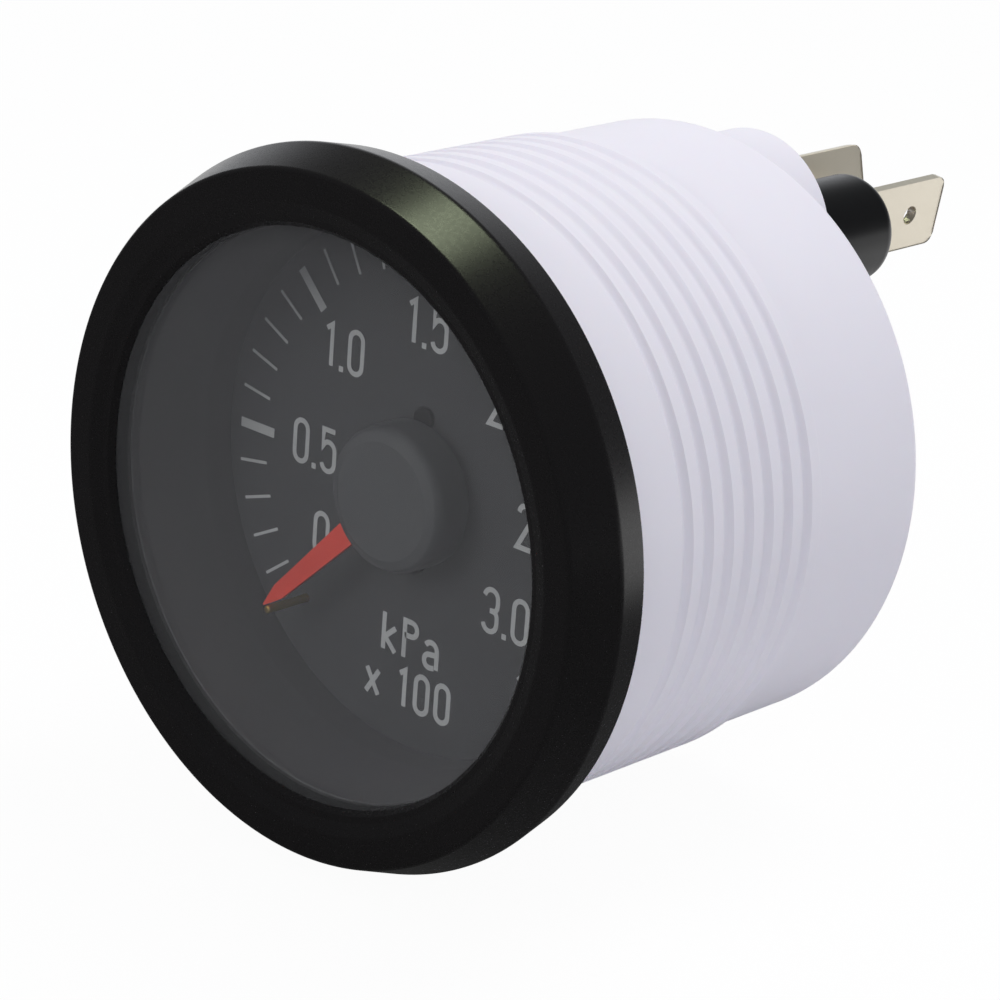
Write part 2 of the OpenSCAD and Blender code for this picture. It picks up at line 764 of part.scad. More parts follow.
module sector_gear() {
    step = 360 / sector_teeth;
    root = sector_pitch_r - tooth_root_share * tooth_module;
    inner = root - sector_rim;
    low = 90 + (sector_first - 1 / 2) * step;
    high = 90 + (sector_last + 1 / 2) * step;
    pivot = [0, -centre_dist];
    spoke = asin(spoke_w / inner);
    color("#d0b055") difference() {
        union() {
            translate([0, 0, -centre_dist]) slab(sector_front, sector_front + sector_t)
                polygon(concat([[0, 0], root * [cos(low), sin(low)]],
                    [for (i = [sector_first:sector_last]) each tooth(sector_teeth, 90 + i * step, 2)],
                    [root * [cos(high), sin(high)]]));
            rod(hub_r, sector_front, sector_front + sector_t, pivot);
            rod(eye_r, sector_front, sector_front + sector_t, tail_at);
            slab(sector_front, sector_front + sector_t) polygon(strip(pivot, tail_at, 2 * eye_r));
        }
        translate([0, 0, -centre_dist]) slab(sector_front - over, sector_front + sector_t + over)
            polygon(concat(arc([0, 0], inner, low + spoke, high - spoke, 12),
                arc([0, 0], hub_r + spoke_w, high - spoke * 2, low + spoke * 2, 4)));
        rod(sector_arbor_r, sector_front - over, sector_front + sector_t + over, pivot);
        rod(pin_r, sector_front - over, sector_front + sector_t + over, tail_at);
    }
}

// Corners of a straight strip of width w from a to b
function strip(a, b, w) = let (d = (b - a) / norm(b - a), n = [-d[1], d[0]] * w / 2)
    [a - n, b - n, b + n, a + n];

module sector_arbor() {
    at = [0, -centre_dist];
    front = gears_front + bush_proud + shoulder;
    back = gears_back - bush_proud - shoulder;
    color("#aeb0b4") {
        rod(sector_arbor_r, front, back, at);
        rod(pivot_r, plate_front - bush_proud, front, at);
        rod(pivot_r, back, plate_back + bush_proud, at);
    }
}

// A shouldered pin that carries the link's eye
module eye_pin(y0, at) {
    rod(pin_r, y0, link_back + seat_gap, at);
    rod(pin_r * head_share, link_back + seat_gap, link_back + seat_gap + head_t, at);
}

module link_pin() {
    color("#aeb0b4") eye_pin(sector_front, tail_at);
}

module link() {
    color("#c9b27a") difference() {
        union() {
            slab(link_front, link_back) polygon(strip(tail_at, tip_at, link_w));
            for (at = [tail_at, tip_at]) rod(eye_r, link_front, link_back, at);
        }
        for (at = [tail_at, tip_at]) rod(pin_r + fit, link_front - over, link_back + over, at);
    }
}

module tube_tip() {
    a0 = tube_end + tip_gap;
    a1 = a0 + tip_block;
    w = tube_w + 2 * tip_wall;
    lug = [tube_r * cos(a1), tube_r * sin(a1)];
    color("#bfa05a") difference() {
        union() {
            bend(a0, a1) translate([tube_r - w / 2, -tube_back - tip_wall])
                square([w, tube_h + 2 * tip_wall]);
            slab(sector_front, sector_front + sector_t) polygon(strip(lug, tip_at, 2 * eye_r));
            rod(eye_r, sector_front, sector_front + sector_t, tip_at);
        }
        rod(pin_r, sector_front - over, sector_front + sector_t + over, tip_at);
    }
}

module tip_pin() {
    color("#aeb0b4") eye_pin(sector_front, tip_at);
}

bezel();
lens();
lens_gasket();
spacer_ring();
dial();
dial_screws();
stop_pin();
housing();
front_plate();
back_plate();
plate_pillars();
plate_screws();
movement_screws();
pivot_bushes();
hairspring();
hairspring_stud();
bourdon_tube();
pressure_socket();
socket_gasket();
port_washer();
port_nut();
lamp_holder();
lamp_contact();
lamp_bulb();
bulb_base();
lamp_blade();
ground_blade();
pointer();
hub_cap();
pointer_boss();
pinion_arbor();
pinion();
hairspring_collet();
sector_gear();
sector_arbor();
link_pin();
link();
tube_tip();
tip_pin();
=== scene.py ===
"""Looks of a panel-mounted boost gauge: white grooved barrel, black bezel, lens, dial and pointer.

Every length is in millimetres in the classes and is turned to metres when a mesh is made.
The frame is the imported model's: dial towards -Y, barrel back along +Y, +Z up, Y = 0 at the
rear face of the bezel.
"""

import logging
import math
from dataclasses import dataclass, field
from enum import Enum
from typing import Iterable, Sequence

import bmesh
import bpy
from mathutils import Matrix, Vector

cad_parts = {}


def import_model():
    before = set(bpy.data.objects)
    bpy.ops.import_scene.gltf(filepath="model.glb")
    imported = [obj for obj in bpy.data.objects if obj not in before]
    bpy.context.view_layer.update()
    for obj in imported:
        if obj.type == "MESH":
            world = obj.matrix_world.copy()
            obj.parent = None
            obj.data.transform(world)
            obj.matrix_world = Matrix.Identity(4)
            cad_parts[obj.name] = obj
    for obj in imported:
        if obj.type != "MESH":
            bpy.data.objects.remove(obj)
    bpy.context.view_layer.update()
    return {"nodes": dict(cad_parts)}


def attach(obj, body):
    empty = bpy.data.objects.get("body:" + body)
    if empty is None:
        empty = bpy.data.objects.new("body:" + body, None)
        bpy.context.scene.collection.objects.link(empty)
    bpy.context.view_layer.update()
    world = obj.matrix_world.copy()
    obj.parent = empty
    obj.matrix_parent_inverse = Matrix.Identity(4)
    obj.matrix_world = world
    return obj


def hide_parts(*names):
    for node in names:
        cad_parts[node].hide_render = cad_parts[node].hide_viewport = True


log = logging.getLogger("gauge")

MM = 0.001
WELD_MM = 1e-4  # corners nearer than this become one
SAME_MM = 1e-5  # points of a line nearer than this are one
AXIS_MM = 1e-6  # a ring smaller than this is a point on the axis
EDGE_SHARE = 0.49  # the most of an edge that one rounding takes
STEEP_RAD = 1.2  # faces that meet at more than this have an outer edge between them

Point = tuple[float, float]
Triple = tuple[float, float, float]
Outline = list[Point]
Settings = dict[str | int, object]
Links = dict[str | int, bpy.types.NodeSocket]


class Body(Enum):
    """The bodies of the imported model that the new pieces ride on."""

    CASE = "case"
    POINTER = "pointer_set"


class Slot(Enum):
    """The record's material slots, listed beside the new pieces."""

    BEZEL = "black_bezel"
    LENS = "lens_glass"
    RING = "dark_plastic"
    DIAL = "dial_paint"
    HOUSING = "white_plastic"
    HOLDER = "black_plastic"
    TAB = "tinned_brass"
    POINTER = "red_paint"
    STEEL = "dark_steel"


# Colours and nodes

def linear(hex_colour: str) -> tuple[float, float, float, float]:
    """Turns an sRGB hex colour to linear values.

    Args:
        hex_colour: Six hex digits after a hash sign.

    Returns:
        Red, green, blue and alpha, in linear light.
    """
    parts = [int(hex_colour[i:i + 2], 16) / 255 for i in (1, 3, 5)]
    curve = [c / 12.92 if c <= 0.04045 else ((c + 0.055) / 1.055) ** 2.4 for c in parts]
    return (*curve, 1.0)


def new_tree(owner: bpy.types.Material | bpy.types.World) -> bpy.types.NodeTree:
    """Gives a new material or world an empty node tree.

    Args:
        owner: The material or world.

    Returns:
        Its tree.
    """
    owner.use_nodes = True
    owner.node_tree.nodes.clear()
    return owner.node_tree


def add_node(tree: bpy.types.NodeTree, kind: str, settings: Settings | None = None,
             links: Links | None = None) -> bpy.types.Node:
    """Adds a shader node with its settings and links.

    Args:
        tree: The tree to add to.
        kind: The node's Blender type.
        settings: Attribute names, input names or input numbers, with their values.
        links: Input names or numbers, with the output sockets that feed them.

    Returns:
        The new node.
    """
    node = tree.nodes.new(kind)
    for name, value in (settings or {}).items():
        if isinstance(name, str) and hasattr(node, name):
            setattr(node, name, value)
        else:
            node.inputs[name].default_value = value
    for name, source in (links or {}).items():
        tree.links.new(source, node.inputs[name])
    return node


# Finishes

@dataclass(frozen=True)
class Finish:
    """A surface with a fine grain: colour, gloss and the bumps that its making leaves.

    The grain is a noise in object coordinates, so its size is a real one. A second noise,
    many grains wide, shades the colour towards the tone.
    """

    name: str
    colour: str
    tone: str
    metallic: float = 0.0
    roughness: float = 0.5
    roughness_spread: float = 0.06
    ior: float = 1.5
    subsurface: float = 0.0
    skin_mm: float = 0.8
    grain_mm: float = 0.5
    grain_detail: float = 3.0
    grain_rough: float = 0.6
    cloud_grains: float = 24.0
    cloud_detail: float = 2.0
    bump_mm: float = 0.01
    bump_strength: float = 0.6
    stretch: Triple = (1.0, 1.0, 1.0)

    def build(self) -> bpy.types.Material:
        """Makes the material, unless it is there already.

        Returns:
            The material.
        """
        made = bpy.data.materials.get(self.name)
        if made:
            return made
        material = bpy.data.materials.new(self.name)
        tree = new_tree(material)
        place = add_node(tree, "ShaderNodeTexCoord")
        scaled = add_node(tree, "ShaderNodeMapping", {"Scale": self.stretch},
                          {"Vector": place.outputs["Object"]})
        grain = add_node(tree, "ShaderNodeTexNoise",
                         {"Scale": 1 / (self.grain_mm * MM), "Detail": self.grain_detail,
                          "Roughness": self.grain_rough},
                         {"Vector": scaled.outputs["Vector"]})
        cloud = add_node(tree, "ShaderNodeTexNoise",
                         {"Scale": 1 / (self.cloud_grains * self.grain_mm * MM),
                          "Detail": self.cloud_detail},
                         {"Vector": place.outputs["Object"]})
        colour = add_node(tree, "ShaderNodeMixRGB",
                          {"Color1": linear(self.colour), "Color2": linear(self.tone)},
                          {"Fac": cloud.outputs["Fac"]})
        rough = add_node(tree, "ShaderNodeMapRange",
                         {"To Min": self.roughness - self.roughness_spread,
                          "To Max": self.roughness + self.roughness_spread},
                         {"Value": grain.outputs["Fac"]})
        bump = add_node(tree, "ShaderNodeBump",
                        {"Strength": self.bump_strength, "Distance": self.bump_mm * MM},
                        {"Height": grain.outputs["Fac"]})
        shader = add_node(tree, "ShaderNodeBsdfPrincipled",
                          {"Metallic": self.metallic, "IOR": self.ior,
                           "Subsurface Weight": self.subsurface,
                           "Subsurface Scale": self.skin_mm * MM},
                          {"Base Color": colour.outputs["Color"],
                           "Roughness": rough.outputs["Result"],
                           "Normal": bump.outputs["Normal"]})
        add_node(tree, "ShaderNodeOutputMaterial", {}, {"Surface": shader.outputs["BSDF"]})
        return material


@dataclass(frozen=True)
class ClearGlass:
    """Float or blown glass: smooth, bends light and lets it through, with or without dust."""

    name: str
    tint: str
    ior: float = 1.5
    roughness: float = 0.0
    haze: float = 0.0
    dust: str = "#e8e8ec"

    def build(self) -> bpy.types.Material:
        """Makes the material, unless it is there already.

        Returns:
            The material.
        """
        made = bpy.data.materials.get(self.name)
        if made:
            return made
        material = bpy.data.materials.new(self.name)
        tree = new_tree(material)
        glass = add_node(tree, "ShaderNodeBsdfPrincipled",
                         {"Base Color": linear(self.tint), "Roughness": self.roughness,
                          "IOR": self.ior, "Transmission Weight": 1.0})
        dust = add_node(tree, "ShaderNodeBsdfDiffuse", {"Color": linear(self.dust)})
        film = add_node(tree, "ShaderNodeMixShader", {0: self.haze},
                        {1: glass.outputs["BSDF"], 2: dust.outputs["BSDF"]})
        clear = add_node(tree, "ShaderNodeBsdfTransparent", {"Color": linear(self.tint)})
        path = add_node(tree, "ShaderNodeLightPath")
        mix = add_node(tree, "ShaderNodeMixShader", {},
                       {0: path.outputs["Is Shadow Ray"], 1: film.outputs["Shader"],
                        2: clear.outputs["BSDF"]})
        add_node(tree, "ShaderNodeOutputMaterial", {}, {"Surface": mix.outputs["Shader"]})
        return material


Surface = Finish | ClearGlass

# Spun aluminium, stoved black: a satin film with a faint orange peel
STOVED_BLACK = Finish("stoved_black_aluminium", "#0d0b0c", "#110f10", roughness=0.28,
                      grain_mm=0.35, bump_mm=0.002)
# Moulded ABS in white: half gloss, a little light comes back from under the skin
WHITE_ABS = Finish("white_moulded_abs", "#e9e6ef", "#e5e2eb", roughness=0.42, subsurface=0.05,
                   grain_mm=0.5, bump_mm=0.004)
# Dark moulded ring round the dial: matt, with a fine spark-eroded grain
GRAINED_BLACK = Finish("grained_black_moulding", "#454346", "#414043", roughness=0.5,
                       grain_mm=0.25, bump_mm=0.001)
# Screen-printed dial: matt, dark ink on aluminium sheet
DIAL_INK = Finish("matt_dial_ink", "#3a3a3d", "#37373a", roughness=0.75,
                  grain_mm=0.2, bump_mm=0.001)
# Pale ink of the scale, a thin matt film
SCALE_INK = Finish("scale_ink", "#c2c2c4", "#bababc", roughness=0.7,
                   grain_mm=0.2, bump_mm=0.002)
# Red ink on the pointer's sheet, half matt
POINTER_RED = Finish("pointer_red_ink", "#e8402e", "#de3a28", roughness=0.55,
                     grain_mm=0.2, bump_mm=0.002)
# Moulded hub cap: matt, dark, without a visible grain
CAP_BLACK = Finish("matt_black_cap", "#48484b", "#454548", roughness=0.6,
                   grain_mm=0.2, bump_mm=0.001)
# Phenolic lamp holder: black, half gloss, smooth
HOLDER_BLACK = Finish("black_phenolic", "#09090b", "#070709", roughness=0.32,
                      grain_mm=0.4, bump_mm=0.004)
# Tinned brass sheet, stamped: warm pale metal with a soft gloss
TINNED_BRASS = Finish("tinned_brass_sheet", "#f4ecdc", "#eae2d0", metallic=1.0, roughness=0.38,
                      grain_mm=0.4, bump_mm=0.003)
# Machined brass: bright yellow metal with fine turning marks
MACHINED_BRASS = Finish("machined_brass", "#d8b25c", "#c49c48", metallic=1.0, roughness=0.3,
                        grain_mm=0.12, bump_mm=0.004, stretch=(1.0, 8.0, 1.0))
# Drawn phosphor bronze of the pressure tube: redder than brass, smooth
PHOSPHOR_BRONZE = Finish("phosphor_bronze_tube", "#c98f58", "#b67c48", metallic=1.0,
                         roughness=0.28, grain_mm=0.2, bump_mm=0.002)
# Bright turned steel for arbors and screws
BRIGHT_STEEL = Finish("turned_steel", "#b9babd", "#a5a6aa", metallic=1.0, roughness=0.28,
                      grain_mm=0.12, bump_mm=0.002)
# Blackened steel of the dial screws: dark metal, half gloss
BLACK_STEEL = Finish("blackened_steel", "#2c2b2c", "#242324", metallic=1.0, roughness=0.35,
                     grain_mm=0.15, bump_mm=0.003)
# Nitrile rubber gaskets: dead matt black
NITRILE = Finish("nitrile_rubber", "#1c1c1c", "#161616", roughness=0.85,
                 grain_mm=0.2, bump_mm=0.01)
# Flat float glass of the lens, under a faint film of dust that veils the dial
LENS_GLASS = ClearGlass("float_glass_lens", "#fbfcfb", haze=0.028)
# Blown glass of the bulb: faintly warm and clear
BULB_GLASS = ClearGlass("blown_bulb_glass", "#fff6e0", ior=1.48)


# Meshes

def arc(centre: Point, radius: float, start: float, end: float, steps: int = 8) -> Outline:
    """Draws points along an arc.

    Args:
        centre: Middle of the arc.
        radius: Its radius.
        start: First angle, in degrees.
        end: Last angle, in degrees.
        steps: Number of chords.

    Returns:
        The points, both ends included.
    """
    angles = [math.radians(start + (end - start) * i / steps) for i in range(steps + 1)]
    return [(centre[0] + radius * math.cos(a), centre[1] + radius * math.sin(a)) for a in angles]


def soften(bends: Sequence[Triple], steps: int = 5) -> Outline:
    """Rounds the corners of a closed outline.

    Args:
        bends: First value, second value and rounding radius of each corner.
        steps: Chords in each rounding.

    Returns:
        The outline with an arc in place of each corner that has a radius.
    """
    points: Outline = []
    count = len(bends)
    for i, (x, y, radius) in enumerate(bends):
        here = Vector((x, y))
        before = Vector(bends[i - 1][:2]) - here
        after = Vector(bends[(i + 1) % count][:2]) - here
        if radius <= 0 or before.length == 0 or after.length == 0:
            points.append((x, y))
            continue
        before_n, after_n = before.normalized(), after.normalized()
        half = before_n.angle(after_n) / 2
        reach = min(radius / math.tan(half), before.length * EDGE_SHARE, after.length * EDGE_SHARE)
        tight = reach * math.tan(half)
        middle = here + (before_n + after_n).normalized() * (tight / math.sin(half))
        first = here + before_n * reach - middle
        last = here + after_n * reach - middle
        sweep = first.angle_signed(last)
        for k in range(steps + 1):
            turned = Matrix.Rotation(-sweep * k / steps, 2) @ first
            points.append((middle.x + turned.x, middle.y + turned.y))
    return points


def held(outline: Outline, reach: float = 0.05, least: float = 6.0) -> Outline:
    """Adds a point near both ends of each straight stretch, which keeps its shading flat.

    Args:
        outline: A closed outline.
        reach: Distance of the added points from the ends.
        least: How many times the reach a stretch is longer, to get them.

    Returns:
        The outline with the added points.
    """
    points: Outline = []
    for i, here in enumerate(outline):
        step = Vector(outline[(i + 1) % len(outline)]) - Vector(here)
        points.append(here)
        if step.length > least * reach:
            points += [(here[0] + step.x * share, here[1] + step.y * share)
                       for share in (reach / step.length, 1 - reach / step.length)]
    return points


def smooth(mesh: bpy.types.Mesh, sharp_deg: float) -> None:
    """Shades a mesh smooth, apart from its sharp edges.

    Args:
        mesh: The mesh.
        sharp_deg: Edges that bend more than this stay sharp.
    """
    mesh.polygons.foreach_set("use_smooth", [True] * len(mesh.polygons))
    mesh.set_sharp_from_angle(angle=math.radians(sharp_deg))


def new_object(name: str, shape: bmesh.types.BMesh, finish: Surface,
               sharp_deg: float = 35.0) -> bpy.types.Object:
    """Turns a bmesh in millimetres into a shaded object in metres.

    Args:
        name: The piece's name.
        shape: The mesh, which is freed.
        finish: Its finish.
        sharp_deg: Edges that bend more than this stay sharp.

    Returns:
        The new object, linked to the scene.
    """
    bmesh.ops.remove_doubles(shape, verts=shape.verts, dist=WELD_MM)
    bmesh.ops.recalc_face_normals(shape, faces=shape.faces)
    mesh = bpy.data.meshes.new(name)
    shape.to_mesh(mesh)
    shape.free()
    mesh.transform(Matrix.Scale(MM, 4))
    smooth(mesh, sharp_deg)
    mesh.materials.append(finish.build())
    piece = bpy.data.objects.new(name, mesh)
    bpy.context.scene.collection.objects.link(piece)
    return piece


def revolve_into(shape: bmesh.types.BMesh, outline: Outline, segments: int = 192,
                 at: Point = (0.0, 0.0)) -> None:
    """Adds a closed outline of (radius, y) points, turned round an axis along Y.

    Args:
        shape: The mesh to add to.
        outline: The closed outline.
        segments: Steps round the axis.
        at: X and z of the axis.
    """
    rings = []
    for radius, y in held(outline):
        if radius < AXIS_MM:
            rings.append([shape.verts.new((at[0], y, at[1]))] * segments)
            continue
        rings.append([shape.verts.new((at[0] + radius * math.sin(2 * math.pi * k / segments), y,
                                       at[1] + radius * math.cos(2 * math.pi * k / segments)))
                      for k in range(segments)])
    for i, ring in enumerate(rings):
        following = rings[(i + 1) % len(rings)]
        for k in range(segments):
            j = (k + 1) % segments
            face = []
            for v in (ring[k], ring[j], following[j], following[k]):
                if v not in face:
                    face.append(v)
            if len(face) > 2:
                shape.faces.new(face)


def disc_into(shape: bmesh.types.BMesh, radius: float, ends: Point, rounds: Point, steps: int,
              segments: int = 192, at: Point = (0.0, 0.0)) -> None:
    """Adds a solid disc or post along Y.

    Args:
        shape: The mesh to add to.
        radius: Its radius.
        ends: Y of its front face and of its back face.
        rounds: Rounding of its front edge and of its back edge.
        steps: Chords in each rounding.
        segments: Steps round the axis.
        at: X and z of the axis.
    """
    front, back = ends
    section = soften([(0, front, 0), (radius, front, rounds[0]), (radius, back, rounds[1]),
                      (0, back, 0)], steps)
    revolve_into(shape, section, segments, at)


def on_front(x: float, z: float, y: float) -> Vector:
    """Places an outline point, drawn as seen from the front, at level y."""
    return Vector((x, y, z))


def slab_into(shape: bmesh.types.BMesh, outline: Outline, low: float, high: float) -> None:
    """Adds a flat piece that faces the front.

    Args:
        shape: The mesh to add to.
        outline: X and z of its outline's points.
        low: Y of one face.
        high: Y of the other face.
    """
    bottom = [shape.verts.new(on_front(x, z, low)) for x, z in outline]
    top = [shape.verts.new(on_front(x, z, high)) for x, z in outline]
    count = len(outline)
    shape.faces.new(bottom)
    shape.faces.new(list(reversed(top)))
    for i in range(count):
        j = (i + 1) % count
        shape.faces.new((bottom[i], bottom[j], top[j], top[i]))


def dial_ways(clock_deg: float) -> tuple[Vector, Vector]:
    """Gives the ways outward and clockwise on the dial, at an angle clockwise from the top."""
    a = math.radians(clock_deg)
    return Vector((math.sin(a), math.cos(a))), Vector((math.cos(a), -math.sin(a)))


def shade(piece: bpy.types.Object, finish: Surface, sharp_deg: float = 30.0) -> None:
    """Gives a carried-over node a finish and smooth shading on its round faces.

    Args:
        piece: The node's object.
        finish: Its finish.
        sharp_deg: Edges that bend more than this stay sharp.
    """
    piece.data.materials.clear()
    piece.data.materials.append(finish.build())
    smooth(piece.data, sharp_deg)
    log.info("%s: %s", piece.name, finish.name)


def settle(piece: bpy.types.Object, body: Body, slot: Slot, *nodes: str) -> None:
    """Rides a piece on its body and hides the nodes that it stands for.

    Args:
        piece: The new piece.
        body: The body that it moves with.
        slot: The record's slot for its finish; not used.
        *nodes: The CAD nodes that it replaces, if any.
    """
    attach(piece, body.value)
    if nodes:
        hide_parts(*nodes)
    log.info("%s: %d faces", piece.name, len(piece.data.polygons))


# Parts of the gauge

@dataclass
class Bezel:
    """Spun ring that holds the lens and is hemmed behind the housing's flange."""

    rear_r: float = 28.22
    rear_y: float = -0.1
    rear_round: float = 0.18
    crease: Point = (28.85, -3.2)
    crease_round: float = 0.9
    corner: Point = (27.38, -7.3)
    corner_round: float = 0.45
    face_r: float = 24.9
    face_round: float = 0.9
    slope: Point = (23.75, -6.87)
    slope_round: float = 0.15
    ledge: Point = (23.25, -6.77)
    ledge_round: float = 0.12
    lip: Point = (22.78, -6.25)
    lip_round: float = 0.05
    inner_r: float = 27.25
    hem_r: float = 26.35
    hem_y: float = -0.8
    hem_round: float = 0.2

    def outline(self) -> Outline:
        """Draws the section of the ring.

        Returns:
            Its closed outline, as (radius, y) points.
        """
        return soften([
            (self.hem_r, self.rear_y, self.hem_round), (self.rear_r, self.rear_y, self.rear_round),
            (*self.crease, self.crease_round), (*self.corner, self.corner_round),
            (self.face_r, self.corner[1], self.face_round), (*self.slope, self.slope_round),
            (*self.ledge, self.ledge_round), (*self.lip, self.lip_round),
            (self.inner_r, self.lip[1], 0), (self.inner_r, self.hem_y, 0),
            (self.hem_r, self.hem_y, 0)], steps=6)

    def build(self) -> None:
        """Makes the ring."""
        shape = bmesh.new()
        revolve_into(shape, self.outline(), segments=256)
        settle(new_object("bezel_ring", shape, STOVED_BLACK, sharp_deg=28),
               Body.CASE, Slot.BEZEL, "bezel")


@dataclass
class Lens:
    """Flat glass disc with a small ground edge."""

    radius: float = 27.15
    front: float = -6.25
    back: float = -3.75
    edge: float = 0.2

    def build(self) -> None:
        """Makes the disc."""
        shape = bmesh.new()
        disc_into(shape, self.radius, (self.front, self.back), (self.edge, self.edge), steps=2)
        settle(new_object("lens_disc", shape, LENS_GLASS), Body.CASE, Slot.LENS, "lens")


@dataclass
class SpacerRing:
    """Dark ring between lens and dial, drawn in a little towards the dial."""

    front: float = -3.4
    front_r: float = 22.74
    front_round: float = 0.12
    waist: Point = (21.9, 3.85)
    waist_round: float = 0.15
    dial: float = 6.7
    wall: float = 1.1
    flange_r: float = 27.15
    flange_back: float = -2.9
    rib_r: float = 24.4
    rib_back: float = -1.4
    rib_slant: Point = (0.84, 0.7)

    def build(self) -> None:
        """Makes the ring."""
        shape = bmesh.new()
        inner_r = self.waist[0]
        outer_r = inner_r + self.wall
        revolve_into(shape, soften([
            (self.front_r, self.front, self.front_round), (self.flange_r, self.front, 0),
            (self.flange_r, self.flange_back, 0), (self.rib_r, self.flange_back, 0),
            (self.rib_r, self.rib_back, 0),
            (outer_r + self.rib_slant[0], self.rib_back + self.rib_slant[1], 0),
            (outer_r, self.dial, 0), (inner_r, self.dial, 0), (*self.waist, self.waist_round)],
            steps=4), segments=256)
        settle(new_object("spacer_ring_wall", shape, GRAINED_BLACK, sharp_deg=20),
               Body.CASE, Slot.RING, "spacer_ring")


@dataclass
class Numerals:
    """Narrow figures and letters drawn with one stroke width, with round bends."""

    height: float = 3.9
    width: float = 1.85
    stroke: float = 0.42
    gap: float = 0.42
    dot: float = 0.46
    # Shares of the width that a 1 and an empty place take
    one_share: float = 0.72
    space_share: float = 0.5
    # Each further stroke of a sign is this much thicker, so that crossings share no face
    overlap: float = 0.006
    # A bend's corner reaches at most half the stroke over this
    mitre: float = 0.5

    def half(self) -> Point:
        """Gives half the width and half the height of the stroke's middle line."""
        return (self.width - self.stroke) / 2, (self.height - self.stroke) / 2

    def strokes(self, sign: str) -> list[tuple[Outline, bool]]:
        """Gives the middle lines of a sign, drawn in shares of its half width and height.

        Args:
            sign: The figure or letter.

        Returns:
            Lines round the sign's own centre, each with whether it closes on itself.

        Raises:
            ValueError: The sign has no strokes here.
        """
        a, b = self.half()
        bowl = b - a
        low = -b + a
        if sign == "0":
            return [(arc((0, bowl), a, 0, 180) + arc((0, low), a, 180, 360), True)]
        if sign == "1":
            return [([(-0.62 * a, b - 0.62 * a), (0.22 * a, b - 0.02), (0.22 * a, -b)], False)]
        if sign == "2":
            return [(arc((0, bowl), a, 175, -25) + [(-a, -b), (a, -b)], False)]
        if sign == "3":
            waist = (-0.1 * a, 0.0)
            upper = arc((0, bowl), a, 170, 0) + arc((a * 0.3, a * 0.7), a * 0.7, 0, -90, 4)
            lower = arc((a * 0.3, -a * 0.7), a * 0.7, 90, 0, 4) + arc((0, low), a, 0, -170)
            return [(upper[:-1] + [waist], False), ([waist] + lower[1:], False)]
        if sign == "5":
            neck = 0.12 * b
            return [([(a * 0.92, b), (-a * 0.86, b), (-a * 0.92, neck)]
                     + arc((0, neck - 0.25 * a), a, 130, 0, 6) + arc((0, low), a, 0, -170), False)]
        if sign == "P":
            top = b - 0.9 * a
            return [([(-a, -b), (-a, b), (0.1 * a, b)]
                     + arc((0.1 * a, top), 0.9 * a, 90, -90) + [(-a, top - 0.9 * a)], False)]
        if sign == "k":
            return [([(-a, -b), (-a, b)], False),
                    ([(a * 0.9, 0.32 * b), (-a * 0.75, -0.3 * b), (a, -b)], False)]
        if sign == "a":
            top = 0.38 * b
            return [(arc((0, top - a), a, 150, 0) + [(a, -b)], False),
                    ([(a, -0.22 * b)] + arc((-0.15 * a, -b + 0.85 * a), 0.85 * a, 110, 270)
                     + [(a * 0.6, -b + 0.1 * a)], False)]
        if sign == "x":
            top = 0.34 * b
            return [([(-a, top), (a, -b)], False), ([(-a, -b), (a, top)], False)]
        raise ValueError(f"no strokes for {sign!r}")

    def advance(self, sign: str) -> float:
        """Gives the width that a sign takes in a line."""
        shares = {" ": self.space_share, "1": self.one_share}
        return self.dot if sign == "." else self.width * shares.get(sign, 1.0)

    def write(self, shape: bmesh.types.BMesh, words: str, centre: Point, y: float,
              thick: float) -> None:
        """Adds a line of signs to a mesh.

        Args:
            shape: The mesh to add to.
            words: The signs.
            centre: X and z of the line's middle.
            y: Level of the dial's face.
            thick: Thickness of the ink.
        """
        total = sum(self.advance(s) for s in words) + self.gap * (len(words) - 1)
        x = centre[0] - total / 2
        for sign in words:
            wide = self.advance(sign)
            middle = (x + wide / 2, centre[1])
            if sign == ".":
                z = centre[1] - self.height / 2 + self.dot / 2
                square = [(middle[0] + i * self.dot / 2, z + j * self.dot / 2)
                          for i, j in ((-1, -1), (1, -1), (1, 1), (-1, 1))]
                slab_into(shape, square, y, y - thick)
            elif sign != " ":
                for k, (line, closed) in enumerate(self.strokes(sign)):
                    moved = [(middle[0] + u, middle[1] + v) for u, v in line]
                    lift = k * self.overlap
                    self.ribbon(shape, moved, closed, (y + lift, y - thick - lift))
            x += wide + self.gap

    def ribbon(self, shape: bmesh.types.BMesh, line: Outline, closed: bool,
               levels: Point) -> None:
        """Adds a strip of the stroke's width along a line, with mitred bends.

        Args:
            shape: The mesh to add to.
            line: X and z of the middle line's points.
            closed: Whether the line closes on itself.
            levels: Y of the strip's two faces.
        """
        points = [Vector(p) for i, p in enumerate(line)
                  if i == 0 or (Vector(p) - Vector(line[i - 1])).length > SAME_MM]
        if closed and (points[0] - points[-1]).length < WELD_MM:
            points.pop()
        count = len(points)
        sides = []
        for i, here in enumerate(points):
            back = points[i - 1] if i or closed else here
            ahead = points[(i + 1) % count] if i + 1 < count or closed else here
            first = (here - back).normalized() if here != back else (ahead - here).normalized()
            second = (ahead - here).normalized() if ahead != here else first
            across = Vector((-(first + second).y, (first + second).x)).normalized()
            lean = across.dot(Vector((-first.y, first.x)))
            reach = self.stroke / 2 / max(self.mitre, lean)
            sides.append((here + across * reach, here - across * reach))
        low, high = levels
        rows = [[shape.verts.new(on_front(p.x, p.y, level)) for p, level in
                 ((left, low), (right, low), (right, high), (left, high))]
                for left, right in sides]
        for i in range(count if closed else count - 1):
            one, two = rows[i], rows[(i + 1) % count]
            for k in range(4):
                shape.faces.new((one[k], one[(k + 1) % 4], two[(k + 1) % 4], two[k]))
        if not closed:
            shape.faces.new(rows[0])
            shape.faces.new(list(reversed(rows[-1])))


